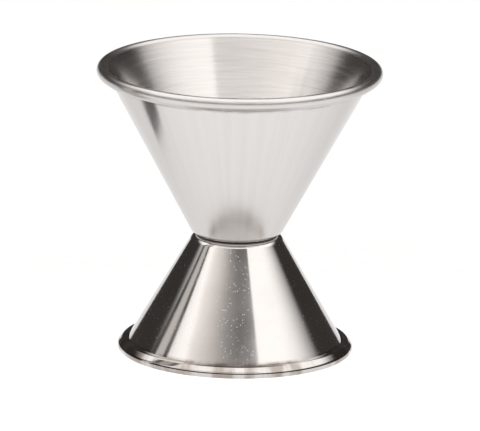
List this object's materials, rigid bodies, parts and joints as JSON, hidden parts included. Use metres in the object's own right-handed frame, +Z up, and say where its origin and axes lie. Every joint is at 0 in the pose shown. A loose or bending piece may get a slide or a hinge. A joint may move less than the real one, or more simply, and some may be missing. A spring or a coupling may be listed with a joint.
{
  "type": "bar jigger",
  "caption": "Double-ended sheet-steel bar jigger: a large and a small conical measuring cup joined base to base, each with a rolled rim.",
  "frame": {"origin": "on the jigger's axis, in the plane that the small cup's rim rests on", "axes": "+Z up along the axis of both cups, with the small cup below pointing down and the large cup above pointing up; +X and +Y lie in the resting plane, and the object is the same all round"},
  "size_m": [0.0674, 0.0674, 0.0689],
  "materials": {
    "satin_steel": "satin sheet steel with fine brush lines that run round the cup, dull outside and brighter inside",
    "polished_steel": "polished sheet steel with faint brush lines that run round the cup",
    "weld_steel": "fused steel of a spot weld, matt"
  },
  "bodies": {
    "root": {"upper_cup": "satin_steel", "lower_cup": "polished_steel", "spot_welds": "weld_steel"}
  },
  "joints": []
}
